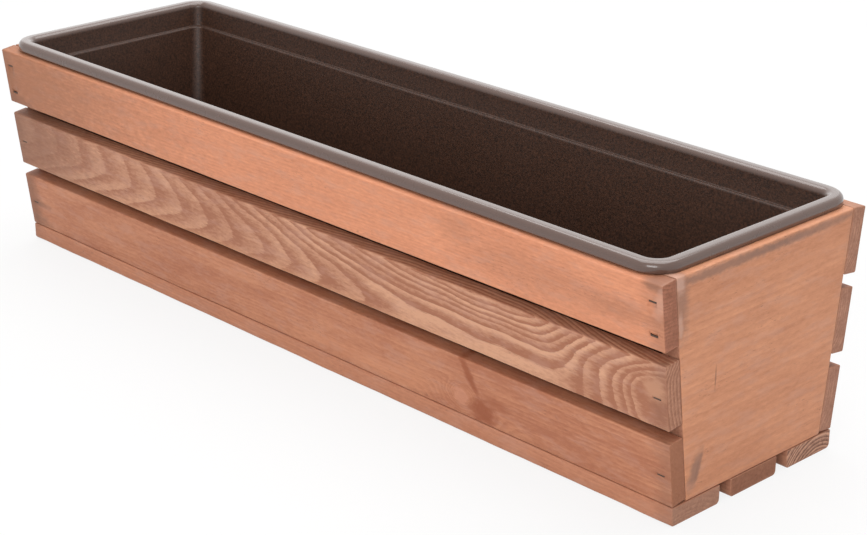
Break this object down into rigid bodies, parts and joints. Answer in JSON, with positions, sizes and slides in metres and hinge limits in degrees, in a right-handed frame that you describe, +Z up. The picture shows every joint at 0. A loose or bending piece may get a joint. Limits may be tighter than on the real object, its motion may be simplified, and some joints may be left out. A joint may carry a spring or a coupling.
{
  "type": "window box planter",
  "caption": "Long slatted wooden window box planter with outward-leaning sides, solid tapered ends and a lift-out plastic liner with a bead rim.",
  "frame": {"origin": "on the ground under the middle of the box", "axes": "+X along the box's length, front towards -Y, +Z up"},
  "size_m": [0.762, 0.2222, 0.1935],
  "materials": {
    "stained_pine": "reddish-brown stain, satin to matt, edges worn lighter",
    "brown_plastic": "satin moulded plastic with a fine orange-peel texture",
    "staple_steel": "dulled wire, crowns sunk below the wood"
  },
  "bodies": {
    "crate": {"front_slat_bottom": "stained_pine", "front_slat_middle": "stained_pine", "front_slat_top": "stained_pine", "back_slat_bottom": "stained_pine", "back_slat_middle": "stained_pine", "back_slat_top": "stained_pine", "floor_slat_front": "stained_pine", "floor_slat_middle": "stained_pine", "floor_slat_back": "stained_pine", "end_board_left": "stained_pine", "end_board_right": "stained_pine", "front_slat_bottom_staples": "staple_steel", "front_slat_middle_staples": "staple_steel", "front_slat_top_staples": "staple_steel", "back_slat_bottom_staples": "staple_steel", "back_slat_middle_staples": "staple_steel", "back_slat_top_staples": "staple_steel", "floor_slat_front_staples": "staple_steel", "floor_slat_middle_staples": "staple_steel", "floor_slat_back_staples": "staple_steel"},
    "liner": {"liner": "brown_plastic"}
  },
  "joints": [
    {"name": "liner_lift", "type": "slide", "parent": "crate", "child": "liner", "axis": [0, 0, 1], "range_m": [0, 0.175]}
  ]
}
